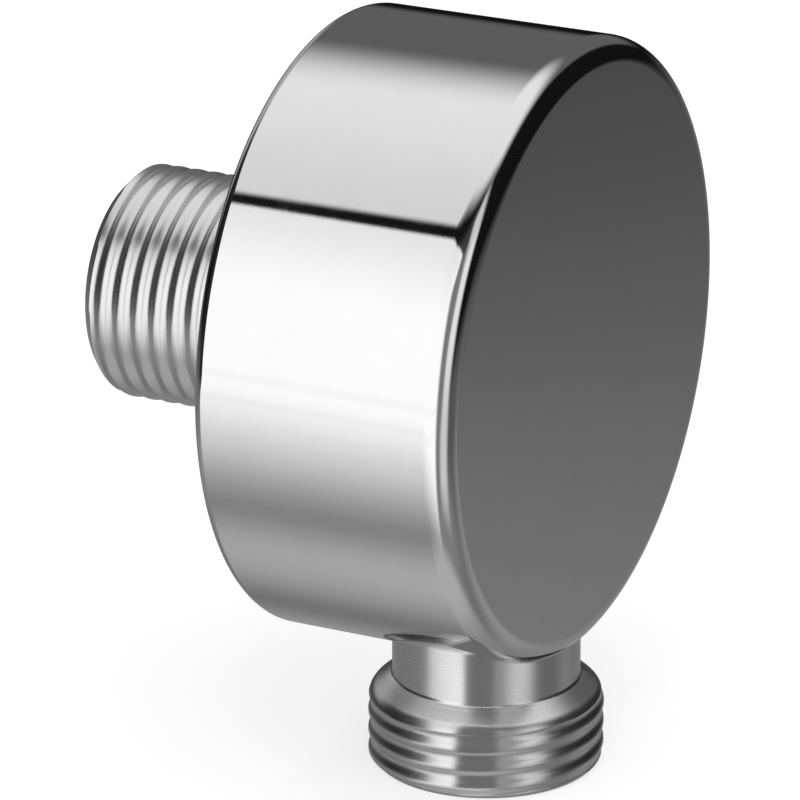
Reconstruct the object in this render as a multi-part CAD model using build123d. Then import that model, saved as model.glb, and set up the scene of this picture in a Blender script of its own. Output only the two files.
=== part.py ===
from build123d import *
import math
import os

# Shower hose wall outlet elbow: one solid chrome-plated brass body.
# A round drum stands on the wall, a male thread runs back into the wall along +Y,
# and a waisted male outlet points straight down along -Z for the shower hose.
# Millimetres. Origin: axis of the drum and inlet, in the plane of the wall.
# +Z is up, the flat front face looks along -Y.

# Pipe thread G 1/2 on both ends, as plain lands on the thread's outside diameter
thread_diameter = 20.955
thread_radius = thread_diameter / 2

# Drum
drum_diameter = 55.0
drum_depth = 24.0
front_edge_round = 2.2
back_edge_round = 0.6
drum_wall = 3.0
front_wall = 4.0
pocket_floor_round = 1.5
rim_inner_round = 0.4

# Hub behind the front wall, which carries the inlet
hub_diameter = 26.0
hub_setback = 1.0
hub_edge_round = 0.6

# Inlet into the wall
inlet_length = 20.5
inlet_end_chamfer = 1.1
inlet_bore_diameter = 13.5
inlet_bore_end_round = 3.0

# Outlet for the hose
outlet_offset = 14.4
neck_diameter = 16.7
neck_end_drop = 31.3
neck_foot_round = 0.4
shoulder_angle = 52.0
shoulder_round = 1.8
outlet_drop = 39.4
outlet_end_chamfer = 0.6
outlet_bore_diameter = 12.0

# Both mouths of the water way
mouth_chamfer = 0.5

drum_radius = drum_diameter / 2
hub_radius = hub_diameter / 2
neck_radius = neck_diameter / 2
pocket_depth = drum_depth - front_wall
shoulder_drop = neck_end_drop + (thread_radius - neck_radius) / math.tan(math.radians(shoulder_angle))


def corner(face, x, y):
    return min(face.vertices(), key=lambda v: (v.X - x) ** 2 + (v.Y - y) ** 2)


def rounded(face, corners):
    # Rounds the named corners of a flat profile, one radius each
    for x, y, radius in corners:
        face = fillet(corner(face, x, y), radius)
    return face


def spun_about_y(points, corners):
    # Profile given as (radius, position along Y)
    face = rounded(make_face(Polyline(*points, close=True)), corners)
    return revolve(face, Axis.Y, 360)


def spun_about_outlet(points, corners):
    # Profile given as (radius, height)
    plane = Plane(origin=(0, -outlet_offset, 0), x_dir=(1, 0, 0), z_dir=(0, -1, 0))
    face = rounded(make_face(Polyline(*points, close=True)), corners)
    return revolve(plane * face, Axis((0, -outlet_offset, 0), (0, 0, 1)), 360)


def drum():
    # Cup with a closed front, a round front edge and a hub in its open back
    inner = drum_radius - drum_wall
    return spun_about_y(
        [
            (0, -drum_depth),
            (drum_radius, -drum_depth),
            (drum_radius, 0),
            (inner, 0),
            (inner, -pocket_depth),
            (hub_radius, -pocket_depth),
            (hub_radius, -hub_setback),
            (0, -hub_setback),
        ],
        [
            (drum_radius, -drum_depth, front_edge_round),
            (drum_radius, 0, back_edge_round),
            (inner, 0, rim_inner_round),
            (inner, -pocket_depth, pocket_floor_round),
            (hub_radius, -pocket_depth, pocket_floor_round),
            (hub_radius, -hub_setback, hub_edge_round),
        ],
    )


def inlet():
    # Male end which is screwed into the wall fitting
    root = -hub_setback - (drum_depth - hub_setback) / 4
    return spun_about_y(
        [
            (0, root),
            (thread_radius, root),
            (thread_radius, inlet_length - inlet_end_chamfer),
            (thread_radius - inlet_end_chamfer, inlet_length),
            (0, inlet_length),
        ],
        [],
    )


def outlet():
    # Waisted neck, conical shoulder with a round outer corner, then the male end for the hose nut
    root = hub_radius / 2
    return spun_about_outlet(
        [
            (0, -root),
            (neck_radius, -root),
            (neck_radius, -neck_end_drop),
            (thread_radius, -shoulder_drop),
            (thread_radius, -outlet_drop + outlet_end_chamfer),
            (thread_radius - outlet_end_chamfer, -outlet_drop),
            (0, -outlet_drop),
        ],
        [
            (neck_radius, -neck_end_drop, neck_foot_round),
            (thread_radius, -shoulder_drop, shoulder_round),
        ],
    )


def inlet_water_way():
    # Blind bore from the wall side, with a rounded end just past the outlet bore
    bore = inlet_bore_diameter / 2
    end = -outlet_offset - outlet_bore_diameter / 2
    past = inlet_length + mouth_chamfer
    return spun_about_y(
        [
            (0, end),
            (bore, end),
            (bore, inlet_length - mouth_chamfer),
            (bore + 2 * mouth_chamfer, past),
            (0, past),
        ],
        [(bore, end, inlet_bore_end_round)],
    )


def outlet_water_way():
    # Bore from the hose end up to the inlet bore
    bore = outlet_bore_diameter / 2
    past = outlet_drop + mouth_chamfer
    return spun_about_outlet(
        [
            (0, 0),
            (bore, 0),
            (bore, -outlet_drop + mouth_chamfer),
            (bore + 2 * mouth_chamfer, -past),
            (0, -past),
        ],
        [],
    )


def elbow_body():
    solid = drum() + inlet() + outlet()
    return solid - inlet_water_way() - outlet_water_way()


os.makedirs("parts", exist_ok=True)
export_step(elbow_body(), "parts/elbow_body.step")
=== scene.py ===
"""Wall outlet elbow for a shower hose: chrome-plated body with two G 1/2 male ends, and its studio."""

import math

import bmesh
import bpy
import numpy as np
from bpy.props import FloatProperty, FloatVectorProperty, IntProperty, PointerProperty
from mathutils import Matrix, Vector


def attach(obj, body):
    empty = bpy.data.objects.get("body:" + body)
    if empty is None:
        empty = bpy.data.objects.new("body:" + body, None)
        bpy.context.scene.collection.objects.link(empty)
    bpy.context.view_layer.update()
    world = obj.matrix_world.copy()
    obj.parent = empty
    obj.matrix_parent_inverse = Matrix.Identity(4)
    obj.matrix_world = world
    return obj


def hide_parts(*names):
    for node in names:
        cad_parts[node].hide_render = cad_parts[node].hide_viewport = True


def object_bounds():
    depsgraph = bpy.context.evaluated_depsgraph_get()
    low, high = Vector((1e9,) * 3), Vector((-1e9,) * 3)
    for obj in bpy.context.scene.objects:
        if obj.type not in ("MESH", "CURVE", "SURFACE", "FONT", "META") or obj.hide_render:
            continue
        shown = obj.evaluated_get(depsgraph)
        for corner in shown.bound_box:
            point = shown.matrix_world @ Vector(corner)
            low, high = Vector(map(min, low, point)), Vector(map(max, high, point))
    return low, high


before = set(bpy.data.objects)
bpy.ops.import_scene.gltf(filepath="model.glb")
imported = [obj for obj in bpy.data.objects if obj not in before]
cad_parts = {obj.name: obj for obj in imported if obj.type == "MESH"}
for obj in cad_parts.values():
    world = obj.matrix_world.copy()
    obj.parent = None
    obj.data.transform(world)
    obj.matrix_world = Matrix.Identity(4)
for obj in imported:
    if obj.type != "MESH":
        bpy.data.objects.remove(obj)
solid_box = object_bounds()

bl_info = {
    "name": "Wall outlet elbow",
    "version": (1, 0, 0),
    "blender": (4, 5, 0),
    "location": "View3D > Sidebar > Elbow",
    "description": "Builds a chrome wall outlet elbow with soft pipe threads, and a plain studio around it",
    "category": "Object",
}

MM = 0.001
BODY = "elbow_body"

# Skins of the body, in the order of the mesh's material slots
POLISHED, TURNED, CAST, CUT, BORE = range(5)

# Threads: polishing and plating have rounded them into even waves
THREAD_LEAN = math.radians(30)  # steepest slope of the flanks against the axis
THREAD_ROWS = 16  # rows of vertices from crest to crest
INLET_LEAD = 1.1 * MM  # shift of the inlet's thread along its axis, which sets where it starts
OUTLET_LEAD = 0.7 * MM
HUB_RUN_OUT = 0.6 * MM  # the inlet's thread grows to its depth over this length out of the hub
SHOULDER_START = 0.4 * MM  # below the neck's end, where the threaded stretch takes over the shoulder

# Mesh
ROW_LENGTH = 4 * MM  # longest facet along a straight stretch
ROW_ANGLE = math.radians(6)  # most that a facet turns on a round stretch
NUDGE = 1e-5  # metres or radians, for slopes by small differences
NEAR_RING = 1e-6  # metres: a thread's point this near to an end ring belongs to it
ONE_POINT = 1e-9  # metres: a ring smaller than this is one point
INSIDE = 1e-3  # share of a stretch by which its end normals keep inside it
FADED = 0.2  # a carried normal shorter than this has been mixed by the booleans
TURNED_AWAY = 0.3  # and one that agrees less than this with its face belongs to another

# Camera: the photograph's view, with lengths in millimetres
CAMERA_SIDE = math.radians(-63.1784)  # from straight in front, round to the left
CAMERA_LIFT = math.radians(20.1518)  # above the horizon
CAMERA_DISTANCE = 511.8  # from the origin
CAMERA_RIGHT = 5.2024  # aside, so that the part sits in the picture as in the photograph
CAMERA_DOWN = 7.7333
PIXELS_PER_MM = 11.3755  # at the origin's distance
PICTURE_WIDTH = 800  # pixels
SENSOR_WIDTH = 36
CLIP_START = 10 * MM

# Floor and lamp, in metres
FLOOR_REACH = 6.0  # from the middle to each edge
FLOOR_CELLS = 8
FLOOR_GLOW = (0.62, 0.62, 0.62)
FLOOR_SHADE_SEEN = (0.45, 0.45, 0.45)
FLOOR_SHADE = (0.88, 0.88, 0.88)
BLACK = (0.0, 0.0, 0.0)
WHITE = (1.0, 1.0, 1.0)
LAMP_PLACE = (-0.35, -0.2, 0.9)
LAMP_SIZE = 0.9
LAMP_WATTS = 3.0

# Grey card beside the outlet, which only reflections show
CARD_GREY = (0.15, 0.15, 0.15)
CARD_HALF_WIDTH = 3.3 * MM
CARD_SOLID = 2.0 * MM  # the card fades out from here to its sides
CARD_HEIGHT = 13.3 * MM
CARD_TOP = -26 * MM
CARD_TURN = math.radians(200.5)  # around the outlet's axis
CARD_AWAY = 12.3  # millimetres from that axis
CARD_ASIDE = -0.05  # millimetres


# ---------------------------------------------------------------------------
# Sizes and colours
# ---------------------------------------------------------------------------


def length_property(name, text, millimetres):
    """A size, given in millimetres and kept in metres"""
    return FloatProperty(
        name=name, description=text, default=millimetres * MM, min=0, subtype="DISTANCE", unit="LENGTH"
    )


def share_property(name, text, share):
    return FloatProperty(name=name, description=text, default=share, min=0, max=1, subtype="FACTOR")


def colour_property(name, text, *colour):
    return FloatVectorProperty(name=name, description=text, default=colour, subtype="COLOR")


class ELBOW_PG_drum(bpy.types.PropertyGroup):
    """Sizes of the round drum against the wall"""

    diameter: length_property("Drum diameter", "Outside diameter of the drum", 55.0)
    depth: length_property("Drum depth", "From the wall to the front face", 24.0)
    front_round: length_property("Front edge round", "Radius between side and front face", 2.2)
    back_round: length_property("Back edge round", "Radius at the wall edge", 1.1)
    wall: length_property("Drum wall", "Thickness of the drum's side", 3.0)
    front: length_property("Front wall", "Thickness behind the front face", 4.0)
    floor_round: length_property("Pocket floor round", "Radius at the bottom of the hollow back", 1.5)
    inner_round: length_property("Rim inner round", "Radius at the mouth of the hollow back", 0.4)
    hub: length_property("Hub diameter", "Outside diameter of the hub in the hollow back", 26.0)
    hub_setback: length_property("Hub setback", "How far the hub stays in front of the wall", 1.0)
    hub_round: length_property("Hub edge round", "Radius on the hub's edge", 0.6)


class ELBOW_PG_ends(bpy.types.PropertyGroup):
    """Sizes of the threaded ends, the neck and the water way"""

    thread: length_property("Thread diameter", "Outside diameter of the G 1/2 thread", 20.955)
    pitch: length_property("Thread pitch", "Distance from crest to crest, 14 to the inch", 1.814)
    inlet: length_property("Inlet length", "How far the inlet stands behind the wall plane", 20.5)
    inlet_chamfer: length_property("Inlet chamfer", "Chamfer on the inlet's end", 1.1)
    inlet_bore: length_property("Inlet bore", "Diameter of the bore from the wall side", 13.5)
    bore_round: length_property("Bore end round", "Radius at the blind end of the bore", 3.0)
    offset: length_property("Outlet offset", "From the wall plane to the outlet's axis", 14.4)
    neck: length_property("Neck diameter", "Diameter of the waisted neck", 16.7)
    neck_end: length_property("Neck end", "From the drum's axis down to the end of the neck", 31.3)
    neck_round: length_property("Neck foot round", "Radius between neck and shoulder", 0.4)
    shoulder_round: length_property("Shoulder round", "Radius on the shoulder's outer corner", 1.8)
    outlet: length_property("Outlet drop", "From the drum's axis down to the outlet's end", 39.4)
    outlet_chamfer: length_property("Outlet chamfer", "Chamfer on the outlet's end", 0.6)
    outlet_bore: length_property("Outlet bore", "Diameter of the bore from the hose end", 12.0)
    mouth: length_property("Mouth chamfer", "Chamfer on both mouths of the water way", 0.5)
    shoulder_angle: FloatProperty(
        name="Shoulder angle",
        description="Half angle of the conical shoulder",
        default=math.radians(52),
        subtype="ANGLE",
    )
    sides: IntProperty(
        name="Sides", description="Facets around every turned surface", default=192, min=24, max=512
    )


class ELBOW_PG_finish(bpy.types.PropertyGroup):
    """Colours and roughness of the plated, cast and bored surfaces"""

    plating: colour_property("Plating", "Colour of the polished chrome plating", 0.9, 0.9, 0.902)
    cut: colour_property("Cut metal", "Colour of the plated threads", 0.85, 0.85, 0.852)
    cast: colour_property("Cast metal", "Colour of the thinly plated casting inside", 0.62, 0.60, 0.56)
    brass: colour_property("Brass", "Colour of the bare brass in the bores", 0.72, 0.52, 0.26)
    polished_roughness: share_property("Polish", "Roughness of the polished plating", 0.032)
    turned_roughness: share_property("Turned", "Roughness of the turned neck", 0.22)
    thread_roughness: share_property("Thread", "Roughness of the threads", 0.25)
    cast_roughness: share_property("Casting", "Roughness of the casting inside", 0.34)
    bore_roughness: share_property("Bore", "Roughness of the bores", 0.22)


# ---------------------------------------------------------------------------
# Shader values
# ---------------------------------------------------------------------------


class Value:
    """A socket that takes part in Python expressions, each of which adds its Math node"""

    def __init__(self, tree, socket):
        self.tree = tree
        self.socket = socket

    def __add__(self, other):
        return self.tree.maths("ADD", self, other)

    def __radd__(self, other):
        return self.tree.maths("ADD", other, self)

    def __sub__(self, other):
        return self.tree.maths("SUBTRACT", self, other)

    def __rsub__(self, other):
        return self.tree.maths("SUBTRACT", other, self)

    def __mul__(self, other):
        return self.tree.maths("MULTIPLY", self, other)

    def __rmul__(self, other):
        return self.tree.maths("MULTIPLY", other, self)

    def __truediv__(self, other):
        return self.tree.maths("DIVIDE", self, other)

    def __rtruediv__(self, other):
        return self.tree.maths("DIVIDE", other, self)

    def __neg__(self):
        return self.tree.maths("MULTIPLY", self, -1.0)

    def __abs__(self):
        return self.tree.maths("ABSOLUTE", self)

    def at_most(self, high):
        return self.tree.maths("MINIMUM", self, high)

    def at_least(self, low):
        return self.tree.maths("MAXIMUM", self, low)

    def rise(self, low, high, bottom=0.0, top=1.0):
        """Smooth step from bottom at low to top at high"""
        settings = {"interpolation_type": "SMOOTHSTEP", "clamp": True}
        return self.tree.add("ShaderNodeMapRange", settings, self, low, high, bottom, top)

    def between(self, low, high, soft_low, soft_high):
        """One from low to high, falling to nothing over the two soft margins"""
        return self.rise(low - soft_low, low + soft_low) * self.rise(high + soft_high, high - soft_high)


class Tree:
    """A node tree of a material or world, filled by one method"""

    def __init__(self, owner):
        owner.use_nodes = True
        self.nodes = owner.node_tree.nodes
        self.links = owner.node_tree.links
        self.nodes.clear()

    def add(self, kind, settings=None, *inputs, out=0, **named):
        """Adds a node: its settings first, then its inputs by place or by name.

        Returns the output with the place or name in out, or a list where out is a tuple.
        """
        node = self.nodes.new(kind)
        for key, setting in (settings or {}).items():
            setattr(node, key, setting)
        for key, item in list(enumerate(inputs)) + [(key.replace("_", " "), item) for key, item in named.items()]:
            if item is not None:
                self.feed(node.inputs[key], item)
        if not node.outputs:
            return None
        if isinstance(out, tuple):
            return [Value(self, node.outputs[key]) for key in out]
        return Value(self, node.outputs[out])

    def feed(self, socket, item):
        """Links a value to the socket, or sets the socket; a colour gets its alpha here"""
        if isinstance(item, Value):
            self.links.new(item.socket, socket)
        elif socket.type == "RGBA":
            socket.default_value = (*item, 1.0)
        else:
            socket.default_value = item

    def maths(self, operation, *terms):
        return self.add("ShaderNodeMath", {"operation": operation}, *terms)

    def place(self):
        """Point on the surface, in metres in the frame of the part"""
        return self.add("ShaderNodeTexCoord", out="Object")

    def parts(self, vector):
        """The x, y and z of a vector"""
        return self.add("ShaderNodeSeparateXYZ", {}, vector, out=(0, 1, 2))

    def noise(self, place, scale, detail=3.0, roughness=0.5):
        return self.add("ShaderNodeTexNoise", {}, Vector=place, Scale=scale, Detail=detail, Roughness=roughness)

    def relief(self, height, strength, depth, under=None):
        """Fine relief, on top of the one under it"""
        return self.add("ShaderNodeBump", {}, Strength=strength, Distance=depth, Height=height, Normal=under)

    def blend(self, factor, first, second):
        """Mix of two numbers"""
        return self.add("ShaderNodeMix", {"data_type": "FLOAT"}, factor, None, first, second)

    def tint(self, factor, first, second):
        """Mix of two colours, whose sockets come after those for numbers and vectors"""
        skipped = [None] * 5
        return self.add("ShaderNodeMix", {"data_type": "RGBA"}, factor, *skipped, first, second, out=2)

    def darken(self, mask, colour, share):
        """A colour that falls to a share of itself where the mask is one"""
        return self.tint(mask, tuple(colour), tuple(share * part for part in colour))

    def surface(self, **named):
        """Closes a material with the Principled shader and its named sockets"""
        self.add("ShaderNodeOutputMaterial", {}, self.add("ShaderNodeBsdfPrincipled", {}, **named))


def new_material(name):
    material = bpy.data.materials.new(name)
    return material, Tree(material)


# ---------------------------------------------------------------------------
# Finishes: noise scales are in waves per metre
# ---------------------------------------------------------------------------


def polished_chrome(finish):
    """Mirror plating: faint polishing haze and a very slight waviness left by the buffing wheel"""
    material, tree = new_material("polished chrome")
    place = tree.place()
    haze = tree.noise(place, scale=240.0, detail=4.0, roughness=0.6)
    fine = tree.noise(place, scale=2600.0, detail=2.0)
    wave = tree.noise(place, scale=70.0, detail=1.0, roughness=0.4)
    hazed, speckled, darkest = 0.02, 0.012, 0.975
    roughness = finish.polished_roughness + haze.rise(0.45, 0.75) * hazed + fine * speckled
    colour = tree.darken(haze.rise(0.35, 0.8), finish.plating, darkest)
    ripple = tree.relief(wave, strength=0.012, depth=0.2 * MM)
    skin = tree.relief(fine, strength=0.02, depth=0.02 * MM, under=ripple)
    tree.surface(Base_Color=colour, Metallic=1.0, Roughness=roughness, Normal=skin)
    return material


def lathe_rings(tree, place):
    """Fine rings left by the lathe around the outlet: an uneven wave down its axis, from nought to one"""
    rings_per_mm, waver = 2.7, 6.0
    height = tree.parts(place)[2]
    wobble = tree.noise(place, scale=60.0, detail=2.0) * waver
    return tree.maths("SINE", height * (rings_per_mm / MM * 2 * math.pi) + wobble) * 0.5 + 0.5


def turned_chrome(finish):
    """Plated neck: satin from the lathe, with fine rings that the plating has softened"""
    material, tree = new_material("turned chrome")
    place = tree.place()
    rings = lathe_rings(tree, place)
    grain = tree.noise(place, scale=1700.0, roughness=0.6)
    patch = tree.noise(place, scale=230.0, detail=2.0)
    ringed, grained, patched, darkest = 0.03, 0.05, 0.03, 0.95
    roughness = finish.turned_roughness + rings * ringed + grain * grained + patch.rise(0.4, 0.8) * patched
    colour = tree.darken(patch.rise(0.35, 0.75), finish.plating, darkest)
    marks = tree.relief(rings, strength=0.04, depth=0.03 * MM)
    skin = tree.relief(grain, strength=0.03, depth=0.03 * MM, under=marks)
    tree.surface(Base_Color=colour, Metallic=1.0, Roughness=roughness, Normal=skin)
    return material


def cut_chrome(finish):
    """Plated threads and end faces: duller than the drum, with a fine grain from the cut"""
    material, tree = new_material("plated thread")
    place = tree.place()
    grain = tree.noise(place, scale=1500.0, roughness=0.6)
    broad = tree.noise(place, scale=190.0, detail=2.0)
    grained, patched, darkest = 0.06, 0.04, 0.93
    roughness = finish.thread_roughness + grain * grained + broad.rise(0.5, 0.8) * patched
    colour = tree.darken(broad.rise(0.35, 0.75), finish.cut, darkest)
    skin = tree.relief(grain, strength=0.10, depth=0.04 * MM)
    tree.surface(Base_Color=colour, Metallic=1.0, Roughness=roughness, Normal=skin)
    return material


def cast_back(finish):
    """Thin plating over the sand-cast skin of the hollow back"""
    material, tree = new_material("plated casting")
    place = tree.place()
    sand = tree.noise(place, scale=1900.0, detail=4.0, roughness=0.65)
    patch = tree.noise(place, scale=160.0, roughness=0.55)
    patched, sanded, darkest = 0.16, 0.08, 0.8
    roughness = finish.cast_roughness + patch * patched + sand * sanded
    colour = tree.darken(patch.rise(0.4, 0.7), finish.cast, darkest)
    pits = tree.relief(sand, strength=0.45, depth=0.08 * MM)
    tree.surface(Base_Color=colour, Metallic=1.0, Roughness=roughness, Normal=pits)
    return material


def bored_brass(finish):
    """Bores: the plating thins out inwards and drilled brass shows deeper down"""
    material, tree = new_material("drilled brass")
    place = tree.place()
    _, y, z = tree.parts(place)
    ragged, grained = 4 * MM, 0.16
    worn = tree.noise(place, scale=260.0, roughness=0.6) * ragged
    deep = (y + worn).rise(17 * MM, 6 * MM) * (z + worn).rise(-37.5 * MM, -31 * MM)
    grain = tree.noise(place, scale=1200.0, roughness=0.6)
    colour = tree.tint(deep, tuple(finish.cut), tuple(finish.brass))
    marks = tree.relief(grain, strength=0.25, depth=0.04 * MM)
    roughness = finish.bore_roughness + grain * grained
    tree.surface(Base_Color=colour, Metallic=1.0, Roughness=roughness, Normal=marks)
    return material


# ---------------------------------------------------------------------------
# Turned surfaces
# ---------------------------------------------------------------------------


def thread_depth(along, pitch):
    """Depth below the crests of an even wave: round crests, then round roots, that meet halfway"""
    bend = pitch / 4 / math.sin(THREAD_LEAN)
    from_crest = np.abs((along / pitch + 0.5) % 1.0 - 0.5) * pitch
    from_root = pitch / 2 - from_crest
    depth = 2 * bend * (1 - math.cos(THREAD_LEAN))
    crest = bend - np.sqrt(bend**2 - np.minimum(from_crest, pitch / 4) ** 2)
    root = depth - bend + np.sqrt(bend**2 - np.minimum(from_root, pitch / 4) ** 2)
    return np.where(from_crest < pitch / 4, crest, root)


def rounded_path(corners):
    """Straight and round stretches through (radius, along, corner radius, skin) corners.

    The skin of a corner holds for the stretch that starts at it.
    """
    stretches = []
    here = Vector(corners[0][:2])
    for k in range(1, len(corners)):
        before, corner = Vector(corners[k - 1][:2]), Vector(corners[k][:2])
        radius, skin = corners[k][2], corners[k - 1][3]
        if radius == 0 or k == len(corners) - 1:
            stretches.append(("line", here, corner, skin))
            here = corner
            continue
        after = Vector(corners[k + 1][:2])
        into, away = (corner - before).normalized(), (after - corner).normalized()
        turn = into.angle(away)
        reach = radius * math.tan(turn / 2)
        start, end = corner - into * reach, corner + away * reach
        inward = (away - into).normalized()
        centre = corner + inward * (radius / math.cos(turn / 2))
        stretches.append(("line", here, start, skin))
        stretches.append(("arc", centre, (start, end, turn), skin))
        here = end
    return stretches


def corner_normals(shape, rows, turns):
    """Normals of the surface shape(row, turn) by small differences, out of the metal"""
    down = shape(rows + NUDGE, turns) - shape(rows - NUDGE, turns)
    across = shape(rows, turns + NUDGE) - shape(rows, turns - NUDGE)
    normal = np.cross(down, across)
    return normal / np.maximum(np.linalg.norm(normal, axis=-1, keepdims=True), 1e-20)


class Turning:
    """A closed mesh turned about an axis, which keeps the true normal of every face corner"""

    def __init__(self, name, sides, place):
        self.name = name
        self.sides = sides
        self.turns = np.arange(sides + 1) * 2 * math.pi / sides
        self.place = place  # gives the points for radius, along and turn
        self.verts = []
        self.faces = []
        self.normals = []
        self.skins = []
        self.ring = None  # the last ring of vertices

    def add_ring(self, points):
        first = len(self.verts)
        if np.ptp(points, axis=0).max() < ONE_POINT:
            self.verts.append(points[0])
            return np.full(self.sides, first)
        self.verts.extend(points)
        return np.arange(first, first + self.sides)

    def add_face(self, indices, normals, skin):
        """Adds a face, less its doubled corners"""
        kept = [k for k in range(len(indices)) if indices[k] != indices[k - 1]]
        if len(kept) > 2:
            self.faces.append([int(indices[k]) for k in kept])
            self.normals.extend(normals[k] for k in kept)
            self.skins.append(skin)

    def stretch(self, shape, rows, skin):
        """Adds the surface shape(row, turn) for the given rows, joined to the last ring"""
        row_grid, turn_grid = np.meshgrid(rows, self.turns, indexing="ij")
        points = shape(row_grid, turn_grid)
        margin = (rows[-1] - rows[0]) * INSIDE
        inside = np.clip(row_grid, rows[0] + margin, rows[-1] - margin)
        normals = corner_normals(shape, inside, turn_grid)
        last = self.add_ring(points[0, :-1]) if self.ring is None else self.ring
        for k in range(1, len(rows)):
            ring = self.add_ring(points[k, :-1])
            for j in range(self.sides):
                n = (j + 1) % self.sides
                indices = (ring[j], ring[n], last[n], last[j])
                corners = (normals[k, j], normals[k, j + 1], normals[k - 1, j + 1], normals[k - 1, j])
                self.add_face(indices, corners, skin)
            last = ring
        self.ring = last

    def follow(self, corners):
        """Adds the whole rounded path"""
        for kind, first, second, skin in rounded_path(corners):
            if kind == "line":
                self.straight(first, second, skin)
            else:
                self.round(first, *second, skin)

    def straight(self, first, second, skin):
        def shape(row, turn):
            return self.place(first.x + (second.x - first.x) * row, first.y + (second.y - first.y) * row, turn)

        rows = np.linspace(0, 1, max(2, int((second - first).length / ROW_LENGTH) + 1))
        self.stretch(shape, rows, skin)

    def round(self, centre, start, end, turn, skin):
        first = math.atan2(start.y - centre.y, start.x - centre.x)
        last = math.atan2(end.y - centre.y, end.x - centre.x)
        sweep = (last - first + math.pi) % (2 * math.pi) - math.pi
        radius = (start - centre).length

        def shape(row, around):
            angle = first + sweep * row
            return self.place(centre.x + radius * np.cos(angle), centre.y + radius * np.sin(angle), around)

        rows = np.linspace(0, 1, max(3, int(turn / ROW_ANGLE) + 1))
        self.stretch(shape, rows, skin)

    def threaded(self, form, start, end, pitch, lead, skin):
        """Adds a right-hand thread from start, at the last ring, to end.

        form(along, depth) gives the radius where the thread's wave is depth deep. The rows of
        vertices wind with the thread, and are cut off at the two end rings.
        """
        rising = end > start
        low, high = min(start, end), max(start, end)
        marks = np.array(
            [
                turn * pitch + pitch * k / THREAD_ROWS
                for turn in range(math.floor(low / pitch) - 2, math.ceil(high / pitch) + 2)
                for k in range(THREAD_ROWS)
            ]
        )
        wound = marks[:, None] + pitch * (self.turns[None, :] / (2 * math.pi)) + lead
        along = np.clip(wound, low, high)

        def shape(place_along, turn):
            depth = thread_depth(place_along - lead - pitch * turn / (2 * math.pi), pitch)
            return self.place(form(place_along, depth), place_along, turn)

        turn_grid = np.broadcast_to(self.turns, along.shape)
        points = shape(along, turn_grid)
        normals = corner_normals(shape, np.clip(along, low + NUDGE, high - NUDGE), turn_grid)
        if not rising:
            normals = -normals
        far_ring = self.add_ring(shape(np.full(self.sides, end), self.turns[:-1]))
        low_ring, high_ring = (self.ring, far_ring) if rising else (far_ring, self.ring)
        ids = {}

        def vertex(k, j):
            if wound[k, j] <= low + NEAR_RING:
                return low_ring[j % self.sides]
            if wound[k, j] >= high - NEAR_RING:
                return high_ring[j % self.sides]
            key = (k, j) if j < self.sides else (k + THREAD_ROWS, 0)
            if key not in ids:
                ids[key] = len(self.verts)
                self.verts.append(points[k, j])
            return ids[key]

        for k in range(len(marks) - 1):
            for j in range(self.sides):
                if wound[k + 1, j + 1] <= low or wound[k, j] >= high:
                    continue
                cells = [(k, j), (k, j + 1), (k + 1, j + 1), (k + 1, j)]
                if rising:
                    cells.reverse()
                self.add_face([vertex(*cell) for cell in cells], [normals[cell] for cell in cells], skin)
        self.ring = far_ring

    def finish(self, inside_out=False):
        mesh = bpy.data.meshes.new(self.name)
        mesh.from_pydata([tuple(v) for v in self.verts], [], self.faces)
        aim = mesh.attributes.new("true_normal", "FLOAT_VECTOR", "CORNER")
        values = np.array(self.normals, dtype=np.float32) * (-1.0 if inside_out else 1.0)
        aim.data.foreach_set("vector", values.ravel())
        mesh.polygons.foreach_set("material_index", self.skins)
        mesh.update()
        return add_object(self.name, mesh)


def add_object(name, mesh):
    thing = bpy.data.objects.new(name, mesh)
    bpy.context.scene.collection.objects.link(thing)
    return thing


def about_inlet(radius, along, turn):
    return np.stack([radius * np.cos(turn), along + 0 * turn, radius * np.sin(turn)], -1)


def about_outlet(offset):
    def place(radius, along, turn):
        return np.stack([radius * np.cos(turn), radius * np.sin(turn) - offset, along + 0 * turn], -1)

    return place


def turn_drum(drum, ends):
    """Drum, hollow back, hub and inlet, turned about the inlet's axis"""
    radius, hub = drum.diameter / 2, drum.hub / 2
    inner = radius - drum.wall
    pocket = drum.front - drum.depth
    crest = ends.thread / 2
    tip = crest - ends.inlet_chamfer
    work = Turning("drum_turning", ends.sides, about_inlet)
    work.follow(
        [
            (0, -drum.depth, 0, POLISHED),
            (radius, -drum.depth, drum.front_round, POLISHED),
            (radius, 0, drum.back_round, POLISHED),
            (inner, 0, drum.inner_round, CAST),
            (inner, pocket, drum.floor_round, CAST),
            (hub, pocket, drum.floor_round, CAST),
            (hub, -drum.hub_setback, drum.hub_round, CAST),
            (crest, -drum.hub_setback, 0, CAST),
        ]
    )

    def form(along, depth):
        out_of_hub = np.clip((along + drum.hub_setback) / HUB_RUN_OUT, 0, 1)
        chamfer = tip + (ends.inlet - along)
        return np.minimum(crest - depth * out_of_hub, chamfer)

    work.threaded(form, -drum.hub_setback, ends.inlet, ends.pitch, INLET_LEAD, CUT)
    work.straight(Vector((tip, ends.inlet)), Vector((0, ends.inlet)), CUT)
    return work.finish()


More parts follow.
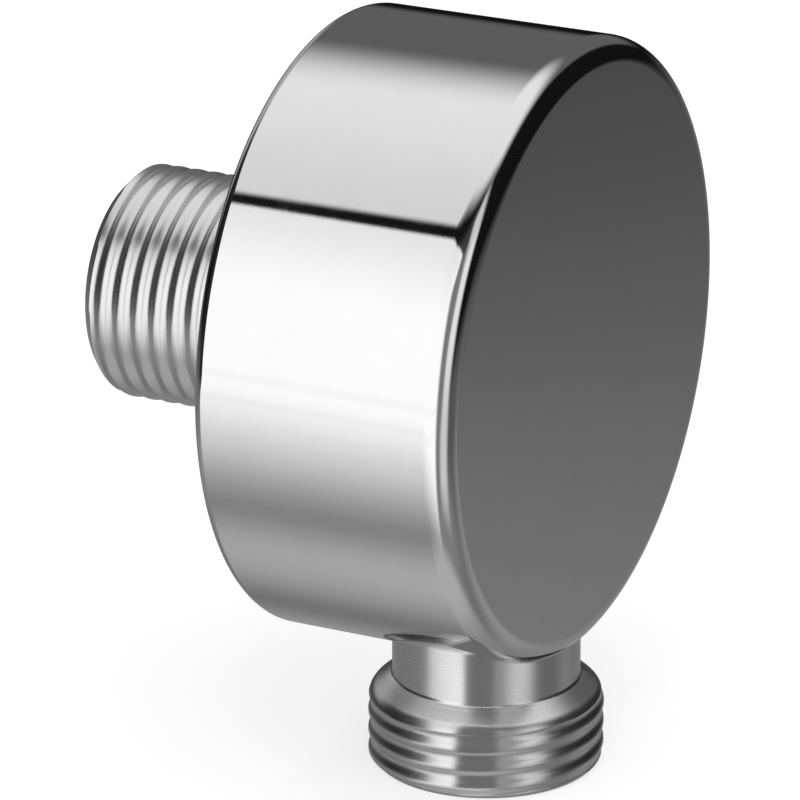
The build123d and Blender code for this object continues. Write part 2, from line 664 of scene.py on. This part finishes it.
def turn_outlet(drum, ends):
    """Neck, shoulder and outlet thread, turned about the outlet's axis; the thread runs out into the shoulder"""
    neck, crest = ends.neck / 2, ends.thread / 2
    angle, bend = ends.shoulder_angle, ends.shoulder_round
    corner = ends.neck_end + (crest - neck) / math.tan(angle)
    reach = bend * math.tan(angle / 2)
    bend_end, bend_start = -corner - reach, -corner + reach * math.cos(angle)
    start, end = -ends.neck_end - SHOULDER_START, -ends.outlet
    tip = crest - ends.outlet_chamfer
    root = -drum.hub / 4  # inside the hub
    through_wall = (drum.wall - drum.diameter) / 2

    def cone(along):
        return neck + (-ends.neck_end - along) * math.tan(angle)

    def unthreaded(along):
        bent = crest - bend + np.sqrt(np.maximum(bend**2 - np.clip(along - bend_end, 0, bend) ** 2, 0))
        return np.where(along > bend_start, cone(along), np.minimum(bent, tip + (along - end)))

    def form(along, depth):
        return np.minimum(unthreaded(along), crest - depth)

    work = Turning("outlet_turning", ends.sides, about_outlet(ends.offset))
    work.follow(
        [
            (0, root, 0, CAST),
            (neck, root, 0, CAST),
            (neck, through_wall, 0, TURNED),
            (neck, -ends.neck_end, ends.neck_round, TURNED),
            (cone(start), start, 0, CUT),
        ]
    )
    work.threaded(form, start, end, ends.pitch, OUTLET_LEAD, CUT)
    work.straight(Vector((tip, end)), Vector((0, end)), CUT)
    return work.finish()


def turn_bore(name, place, ends, bore, blind_end, end_round, mouth, outward):
    """Tool for one bore, from its blind end to past its mouth, which lies outward, +1 or -1 along the axis"""
    past = mouth + outward * ends.mouth
    work = Turning(name, ends.sides, place)
    work.follow(
        [
            (0, blind_end, 0, BORE),
            (bore, blind_end, end_round, BORE),
            (bore, mouth - outward * ends.mouth, 0, BORE),
            (bore + 2 * ends.mouth, past, 0, BORE),
            (0, past, 0, BORE),
        ]
    )
    return work.finish(inside_out=True)


def turn_inlet_bore(ends):
    blind_end = -ends.offset - ends.outlet_bore / 2
    return turn_bore(
        "inlet_bore", about_inlet, ends, ends.inlet_bore / 2, blind_end, ends.bore_round, ends.inlet, 1
    )


def turn_outlet_bore(ends):
    place = about_outlet(ends.offset)
    return turn_bore("outlet_bore", place, ends, ends.outlet_bore / 2, 0, 0, -ends.outlet, -1)


def join_turnings(base, steps):
    """Adds or takes away the other turnings in one exact boolean each, and keeps the true normals"""
    for other, operation in steps:
        cut = base.modifiers.new(other.name, "BOOLEAN")
        cut.operation = operation
        cut.solver = "EXACT"
        cut.object = other
    graph = bpy.context.evaluated_depsgraph_get()
    evaluated = base.evaluated_get(graph)
    mesh = bpy.data.meshes.new_from_object(evaluated, preserve_all_data_layers=True, depsgraph=graph)
    for thing in [other for other, _ in steps] + [base]:
        old = thing.data
        bpy.data.objects.remove(thing)
        bpy.data.meshes.remove(old)
    return mesh


def set_true_normals(mesh):
    """Turns the carried normals into the mesh's own corner normals"""
    aim = np.zeros(len(mesh.loops) * 3)
    mesh.attributes["true_normal"].data.foreach_get("vector", aim)
    aim = aim.reshape(-1, 3)
    flat = np.zeros(len(mesh.polygons) * 3)
    mesh.polygons.foreach_get("normal", flat)
    corners = np.zeros(len(mesh.polygons), int)
    mesh.polygons.foreach_get("loop_total", corners)
    flat = np.repeat(flat.reshape(-1, 3), corners, axis=0)
    size = np.linalg.norm(aim, axis=1, keepdims=True)
    aim = np.where(size > FADED, aim / np.maximum(size, ONE_POINT), flat)
    agree = (aim * flat).sum(1, keepdims=True)
    aim = np.where(agree > TURNED_AWAY, aim, flat)
    mesh.polygons.foreach_set("use_smooth", np.ones(len(mesh.polygons), bool))
    mesh.normals_split_custom_set(aim)
    mesh.attributes.remove(mesh.attributes["true_normal"])


class ELBOW_OT_body(bpy.types.Operator):
    """Builds the chrome elbow body with both threads and its water way"""

    bl_idname = "elbow.body"
    bl_label = "Elbow body"

    def execute(self, context):
        drum, ends, finish = context.scene.elbow_drum, context.scene.elbow_ends, context.scene.elbow_finish
        base = turn_drum(drum, ends)
        steps = [
            (turn_outlet(drum, ends), "UNION"),
            (turn_inlet_bore(ends), "DIFFERENCE"),
            (turn_outlet_bore(ends), "DIFFERENCE"),
        ]
        for skin in (polished_chrome, turned_chrome, cast_back, cut_chrome, bored_brass):
            material = skin(finish)
            for thing in [base] + [other for other, _ in steps]:
                thing.data.materials.append(material)
        mesh = join_turnings(base, steps)
        if not mesh.polygons:
            raise RuntimeError("the elbow body came out empty")
        set_true_normals(mesh)
        mesh.name = "chrome_elbow"
        elbow = add_object("chrome_elbow", mesh)
        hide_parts(BODY)
        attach(elbow, "root")
        return {"FINISHED"}


# ---------------------------------------------------------------------------
# Studio, as polished metal sees it: 1 is white, and all angles are in degrees
# ---------------------------------------------------------------------------


class Way:
    """The direction that a ray leaves the object in, and its angles"""

    def __init__(self, tree):
        direction = tree.add("ShaderNodeTexCoord", out="Generated")
        self.x, self.y, self.z = tree.parts(direction)
        degrees = math.degrees(1)
        self.around = tree.maths("ARCTAN2", -self.y, -self.x) * degrees  # 0 left, 90 front, 180 right
        self.lift = tree.maths("ARCSINE", self.z) * degrees  # 90 overhead
        self.roll = tree.maths("ARCTAN2", self.z, -self.x) * degrees  # 0 left, 90 overhead


def table_tone(way):
    """Table all round: dark at its far edge, then paler towards the object, most of all on the left"""
    corner, corner_drop, slant, highest = 150, 14.5, 2.6, -1.0
    far_level, right_gain, right_step, behind_level = 0.09, 0.067, 0.045, 0.07
    edge = (abs(abs(way.around) - corner) / slant - corner_drop).at_most(highest)
    right = way.x.rise(0.3, 0.8) * way.around.rise(147, 159, bottom=1.3, top=0.75)
    far = (way.lift - edge).rise(3, -13) * (far_level + right * right_gain)
    far_right = way.lift.rise(-17.5, -22.5) * right * right_step
    middle = way.lift.rise(-18, -34) * way.x.rise(0.5, -0.2, bottom=0.06, top=0.125)
    near = way.lift.rise(-49, -66) * way.x.rise(0.5, -0.2, bottom=0.06, top=0.21)
    behind = way.lift.between(-34, -14, 8, 3) * way.around.between(-130, -50, 15, 10) * behind_level
    return far + far_right + middle + near + behind


def front_screen_tone(tree, way, tone):
    """Grey wall at the front left, with a narrow bright screen in it that leans as it rises"""
    wall = way.around.between(0, 66, 8, 5) * way.lift.between(-36, 50, 10, 5)
    tone = tree.blend(wall, tone, way.lift.rise(33, 42, bottom=0.2, top=0.05))
    centre = way.lift.rise(4, 32, bottom=68, top=76)
    wide = way.lift.rise(-8, -18, bottom=1.0, top=1.25)
    across = (way.around - centre) / wide
    screen = across.between(-13, 12, 7, 7) * way.lift.between(-36, 45, 10, 5)
    bright = way.lift.rise(-18, 8, bottom=0.62, top=0.84) * way.lift.rise(24, 34, bottom=1.0, top=0.75)
    return tree.blend(screen, tone, bright)


def panel_tone(tree, way, tone):
    """White panel to the left, with two faint folds, and a black flag behind its back edge"""
    flag_level, fold_depth = 0.02, 0.07
    back_edge = way.lift.rise(-8, -18, bottom=0.50, top=0.70) + way.lift.rise(30, 45, top=0.04)
    behind = way.y - back_edge
    flag = behind.rise(0.0, 0.03) * way.y.rise(0.9, 0.8) * way.x.rise(0.0, -0.1) * way.lift.rise(-14, -9)
    tone = tree.blend(flag, tone, flag_level)

    front_edge = way.lift.rise(28, 42, bottom=32, top=46)
    wide = (way.around - front_edge).rise(6.5, -6.5) * behind.rise(0.02, -0.02) * way.x.rise(0.1, -0.1)
    top = (way.roll - way.y.at_least(0.0) * 9).rise(51.0, 49.2)
    foot = (way.lift - (way.y - 0.42) * 20).rise(-55.5, -6)
    folds = way.roll.between(-9, -6.5, 2, 2) + way.roll.between(-17.5, -15.5, 2, 2)
    white = way.lift.rise(52, 20, bottom=0.84, top=1.09) - folds * fold_depth
    return tree.blend(wide * top * foot, tone, white)


def ceiling_tone(tree, way, tone):
    """Pale ceiling with an arched edge: sharp over the panel, soft elsewhere"""
    crown, crown_around, lowest = 65.9, 8, 48.3
    left_steepness, front_steepness = 1 / 167, 1 / 470
    bow = way.around - crown_around
    steepness = tree.blend(bow.rise(-1, 1), left_steepness, front_steepness)
    arch = (crown - bow * bow * steepness).at_least(lowest)
    soft_left = way.around.rise(-44, -16, bottom=1.6, top=8.1)
    soft = soft_left + way.around.rise(60, 100, top=3.0) + way.around.rise(-80, -110, top=9.5)
    ceiling = (way.lift - arch).rise(-soft, soft)
    return tree.blend(ceiling, tone, way.x.rise(-0.6, 0.4, bottom=0.706, top=0.845))


def studio_tone(tree):
    """Brightness of the studio in every direction.

    A white panel stands to the left, a pale ceiling hangs above it with a black gap between the two,
    a narrow bright screen stands at the front left, and the rest of the room and the table are dark.
    """
    way = Way(tree)
    room, wall_grey, slant = 0.006, 0.108, 77
    right_wall = (way.y + way.lift / slant).rise(-0.06, 0.09) * way.lift.rise(-2, 8) * way.x.rise(-0.1, 0.3)
    back_wall = way.y.rise(0.5, 0.62) * way.x.rise(0.08, 0.3) * way.lift.rise(2, 12, top=2.5)
    tone = room + (right_wall + back_wall) * wall_grey + table_tone(way)
    tone = front_screen_tone(tree, way, tone)
    tone = panel_tone(tree, way, tone)
    return ceiling_tone(tree, way, tone)


def studio_world():
    """White for the camera, the studio for reflections, and a plain room for all other light"""
    room_level, white_level = 0.85, 1.0
    world = bpy.data.worlds.new("studio")
    tree = Tree(world)
    camera, glossy = tree.add("ShaderNodeLightPath", out=("Is Camera Ray", "Is Glossy Ray"))
    seen = tree.add("ShaderNodeBackground", {}, WHITE, studio_tone(tree))
    room = tree.add("ShaderNodeBackground", {}, WHITE, room_level)
    white = tree.add("ShaderNodeBackground", {}, WHITE, white_level)
    lit = tree.add("ShaderNodeMixShader", {}, glossy, room, seen)
    tree.add("ShaderNodeOutputWorld", {}, tree.add("ShaderNodeMixShader", {}, camera, lit, white))
    return world


# ---------------------------------------------------------------------------
# Stage and camera
# ---------------------------------------------------------------------------


def floor_material():
    """Pale floor, which the camera sees as white with a faint shadow"""
    material, tree = new_material("pale floor")
    camera = tree.add("ShaderNodeLightPath", out="Is Camera Ray")
    glow = tree.tint(camera, BLACK, FLOOR_GLOW)
    shade = tree.tint(camera, FLOOR_SHADE, FLOOR_SHADE_SEEN)
    tree.surface(Base_Color=shade, Roughness=0.9, Emission_Color=glow, Emission_Strength=1.0)
    return material


def card_material():
    """Grey card that fades out to both sides"""
    material, tree = new_material("grey card")
    across = abs(tree.parts(tree.place())[0])
    grey = tree.add("ShaderNodeEmission", {}, CARD_GREY, 1.0)
    clear = tree.add("ShaderNodeBsdfTransparent")
    mixed = tree.add("ShaderNodeMixShader", {}, across.rise(CARD_SOLID, CARD_HALF_WIDTH), grey, clear)
    tree.add("ShaderNodeOutputMaterial", {}, mixed)
    return material


def add_floor(height):
    mesh = bpy.data.meshes.new("floor")
    build = bmesh.new()
    bmesh.ops.create_grid(build, x_segments=FLOOR_CELLS, y_segments=FLOOR_CELLS, size=FLOOR_REACH)
    build.to_mesh(mesh)
    build.free()
    mesh.materials.append(floor_material())
    floor = add_object("floor", mesh)
    floor.location = (0, 0, height)
    floor.visible_glossy = False


def add_card(outlet_offset):
    wide, high = CARD_HALF_WIDTH, CARD_HEIGHT
    mesh = bpy.data.meshes.new("grey_card")
    mesh.from_pydata([(-wide, 0, -high), (wide, 0, -high), (wide, 0, 0), (-wide, 0, 0)], [], [(0, 1, 2, 3)])
    mesh.materials.append(card_material())
    card = add_object("grey_card", mesh)
    out = Vector((math.cos(CARD_TURN), math.sin(CARD_TURN), 0)) * CARD_AWAY * MM
    aside = Vector((-math.sin(CARD_TURN), math.cos(CARD_TURN), 0)) * CARD_ASIDE * MM
    card.location = out + aside + Vector((0, -outlet_offset, CARD_TOP))
    card.rotation_euler = (0, 0, CARD_TURN + math.pi / 2)
    for kind in ("camera", "diffuse", "transmission", "volume_scatter", "shadow"):
        setattr(card, "visible_" + kind, False)


def add_lamp():
    lamp = bpy.data.lights.new("overhead", "AREA")
    lamp.shape = "DISK"
    lamp.size = LAMP_SIZE
    lamp.energy = LAMP_WATTS
    hung = add_object("overhead", lamp)
    hung.location = LAMP_PLACE
    hung.rotation_euler = Vector(LAMP_PLACE).to_track_quat("Z", "Y").to_euler()
    hung.visible_glossy = False


def add_camera():
    side, lift = CAMERA_SIDE, CAMERA_LIFT
    back = Vector((math.sin(side) * math.cos(lift), -math.cos(side) * math.cos(lift), math.sin(lift)))
    right = Vector((math.cos(side), math.sin(side), 0))
    up = back.cross(right)
    lens = bpy.data.cameras.new("camera")
    lens.sensor_width = SENSOR_WIDTH
    lens.lens = PIXELS_PER_MM * CAMERA_DISTANCE * SENSOR_WIDTH / PICTURE_WIDTH
    lens.clip_start = CLIP_START
    eye = add_object("camera", lens)
    spot = (back * CAMERA_DISTANCE + right * CAMERA_RIGHT - up * CAMERA_DOWN) * MM
    eye.matrix_world = Matrix.Translation(spot) @ Matrix((right, up, back)).transposed().to_4x4()
    bpy.context.scene.camera = eye


class ELBOW_OT_stage(bpy.types.Operator):
    """Sets the pale floor, the soft studio light and the camera"""

    bl_idname = "elbow.stage"
    bl_label = "Stage"

    def execute(self, context):
        add_floor(height=solid_box[0][2])
        add_card(context.scene.elbow_ends.offset)
        add_lamp()
        add_camera()
        context.scene.world = studio_world()
        context.scene.view_settings.view_transform = "Standard"
        return {"FINISHED"}


# ---------------------------------------------------------------------------
# Sidebar, and the run as a script
# ---------------------------------------------------------------------------


class ELBOW_PT_sidebar(bpy.types.Panel):
    """Lists the sizes and the steps that build the elbow"""

    bl_label = "Wall outlet elbow"
    bl_space_type = "VIEW_3D"
    bl_region_type = "UI"
    bl_category = "Elbow"

    def draw(self, context):
        for name, group in GROUPS.items():
            column = self.layout.column(align=True)
            for setting in group.__annotations__:
                column.prop(getattr(context.scene, name), setting)
        for step in STEPS:
            self.layout.operator(step.bl_idname)


STEPS = (ELBOW_OT_body, ELBOW_OT_stage)
GROUPS = {"elbow_drum": ELBOW_PG_drum, "elbow_ends": ELBOW_PG_ends, "elbow_finish": ELBOW_PG_finish}


def register():
    for kind in (*GROUPS.values(), *STEPS, ELBOW_PT_sidebar):
        bpy.utils.register_class(kind)
    for name, group in GROUPS.items():
        setattr(bpy.types.Scene, name, PointerProperty(type=group))


def unregister():
    for name in GROUPS:
        delattr(bpy.types.Scene, name)
    for kind in (ELBOW_PT_sidebar, *reversed(STEPS), *GROUPS.values()):
        bpy.utils.unregister_class(kind)


def main():
    register()
    bpy.ops.elbow.body()
    bpy.ops.elbow.stage()


if __name__ == "__main__":
    main()
